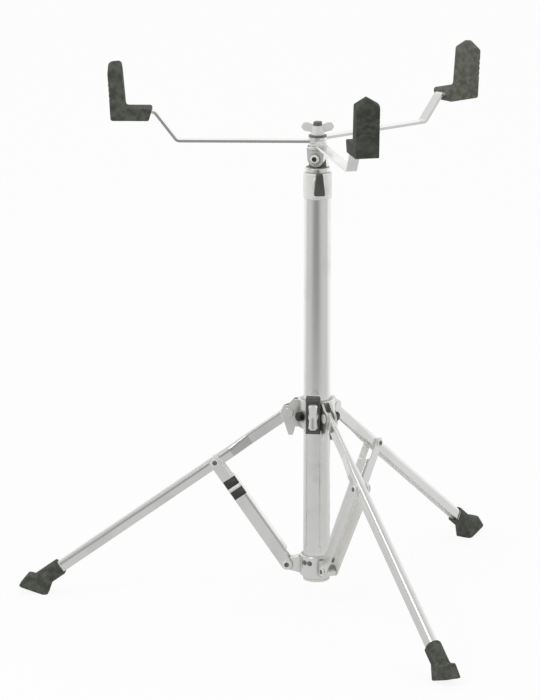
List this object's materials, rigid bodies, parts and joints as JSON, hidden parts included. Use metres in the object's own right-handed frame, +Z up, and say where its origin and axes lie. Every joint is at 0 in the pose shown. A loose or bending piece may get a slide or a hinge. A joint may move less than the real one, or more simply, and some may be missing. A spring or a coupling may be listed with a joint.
{
  "type": "snare drum stand",
  "caption": "Folding chrome snare drum stand: braced channel legs on a sliding collar, telescoping post, tilting basket of swivelling flat arms with black rubber covers.",
  "frame": {"origin": "on the floor, on the column's axis, centre of the circle of the three feet", "axes": "+Z up along the column; -X along the left leg as seen in the picture; +Y away from the viewer"},
  "size_m": [0.4368, 0.5, 0.523],
  "materials": {
    "chrome": "polished chrome plate",
    "satin_metal": "satin",
    "dark_steel": "black oxide",
    "black_plastic": "moulded, fine texture",
    "nylon": "plain",
    "rubber": "matte, slightly dusty"
  },
  "bodies": {
    "column": {"main_tube": "chrome", "tube_end_cap": "black_plastic", "lower_collar": "chrome", "lower_collar_rivets": "dark_steel", "lower_pivots": "dark_steel", "height_head": "satin_metal", "height_bush": "nylon"},
    "height_knob": {"height_screw": "chrome", "height_grip": "black_plastic"},
    "post": {"inner_tube": "chrome", "tilter_base": "chrome", "tilter_bolt": "dark_steel"},
    "tilt_nut": {"tilter_wing_nut": "chrome"},
    "basket": {"tilter_head": "chrome", "basket_bolt": "chrome", "basket_washer": "chrome"},
    "wing_nut": {"basket_wing_nut": "chrome"},
    "collar": {"leg_collar": "chrome", "collar_sleeve": "black_plastic", "collar_bolts": "dark_steel", "collar_clamp_block": "black_plastic", "upper_pivots": "dark_steel"},
    "clamp_handle": {"collar_screw": "chrome", "collar_handle": "chrome"},
    "left_arm": {"arm_left": "chrome", "pad_left": "rubber"},
    "left_leg": {"leg_left": "chrome", "foot_left": "rubber"},
    "left_strut": {"strut_left": "chrome", "strut_rivets_left": "dark_steel"},
    "right_arm": {"arm_right": "chrome", "pad_right": "rubber"},
    "right_leg": {"leg_right": "chrome", "foot_right": "rubber"},
    "right_strut": {"strut_right": "chrome", "strut_rivets_right": "dark_steel"},
    "front_arm": {"arm_front": "chrome", "pad_front": "rubber"},
    "front_leg": {"leg_front": "chrome", "foot_front": "rubber"},
    "front_strut": {"strut_front": "chrome", "strut_rivets_front": "dark_steel"}
  },
  "joints": [
    {"name": "collar_slide", "type": "slide", "parent": "column", "child": "collar", "axis": [0, 0, 1], "range_m": [0, 0.05704]},
    {"name": "height_slide", "type": "slide", "parent": "column", "child": "post", "axis": [0, 0, 1], "range_m": [0, 0.15]},
    {"name": "basket_tilt", "type": "hinge", "parent": "post", "child": "basket", "pos_m": [0, 0, 0.4315], "axis": [-0.2588, -0.9659, 0], "range_deg": [-35, 35]},
    {"name": "height_screw_turn", "type": "hinge", "parent": "column", "child": "height_knob", "pos_m": [0, 0, 0.4105], "axis": [0.1564, -0.9877, 0], "range_deg": [-180, 180]},
    {"name": "tilt_nut_turn", "type": "hinge", "parent": "post", "child": "tilt_nut", "pos_m": [0, 0, 0.4315], "axis": [0.2588, 0.9659, 0], "range_deg": [-180, 180]},
    {"name": "wing_nut_turn", "type": "hinge", "parent": "basket", "child": "wing_nut", "pos_m": [0, 0, 0.455], "axis": [0, 0, 1], "range_deg": [-180, 180]},
    {"name": "clamp_screw_turn", "type": "hinge", "parent": "collar", "child": "clamp_handle", "pos_m": [0, 0, 0.1905], "axis": [-0.0175, -0.9998, 0], "range_deg": [-180, 180]},
    {"name": "left_arm_swing", "type": "hinge", "parent": "basket", "child": "left_arm", "pos_m": [0, 0, 0.4475], "axis": [0, 0, 1], "range_deg": [-12, 80]},
    {"name": "right_arm_swing", "type": "hinge", "parent": "basket", "child": "right_arm", "pos_m": [0, 0, 0.4475], "axis": [0, 0, 1], "range_deg": [-93, 12]},
    {"name": "front_arm_swing", "type": "hinge", "parent": "basket", "child": "front_arm", "pos_m": [0, 0, 0.4475], "axis": [0, 0, 1], "range_deg": [-12, 12]},
    {"name": "left_leg_fold", "type": "hinge", "parent": "collar", "child": "left_leg", "pos_m": [-0.0265, 0, 0.1863], "axis": [0, -1, 0], "range_deg": [0, 50.2]},
    {"name": "left_strut_fold", "type": "hinge", "parent": "column", "child": "left_strut", "pos_m": [-0.0279, 0, 0.0366], "axis": [0, 1, 0], "range_deg": [0, 32.6]},
    {"name": "right_leg_fold", "type": "hinge", "parent": "collar", "child": "right_leg", "pos_m": [0.01325, 0.02295, 0.1863], "axis": [-0.866, 0.5, 0], "range_deg": [0, 50.2]},
    {"name": "right_strut_fold", "type": "hinge", "parent": "column", "child": "right_strut", "pos_m": [0.01395, 0.02416, 0.0366], "axis": [0.866, -0.5, 0], "range_deg": [0, 32.6]},
    {"name": "front_leg_fold", "type": "hinge", "parent": "collar", "child": "front_leg", "pos_m": [0.01325, -0.02295, 0.1863], "axis": [0.866, 0.5, 0], "range_deg": [0, 50.2]},
    {"name": "front_strut_fold", "type": "hinge", "parent": "column", "child": "front_strut", "pos_m": [0.01395, -0.02416, 0.0366], "axis": [-0.866, -0.5, 0], "range_deg": [0, 32.6]}
  ],
  "couplings": [
    {"joint": "left_leg_fold", "follows": "collar_slide", "rad_per_m": 15.345},
    {"joint": "left_strut_fold", "follows": "collar_slide", "rad_per_m": 9.9596},
    {"joint": "right_leg_fold", "follows": "collar_slide", "rad_per_m": 15.345},
    {"joint": "right_strut_fold", "follows": "collar_slide", "rad_per_m": 9.9596},
    {"joint": "front_leg_fold", "follows": "collar_slide", "rad_per_m": 15.345},
    {"joint": "front_strut_fold", "follows": "collar_slide", "rad_per_m": 9.9596}
  ]
}
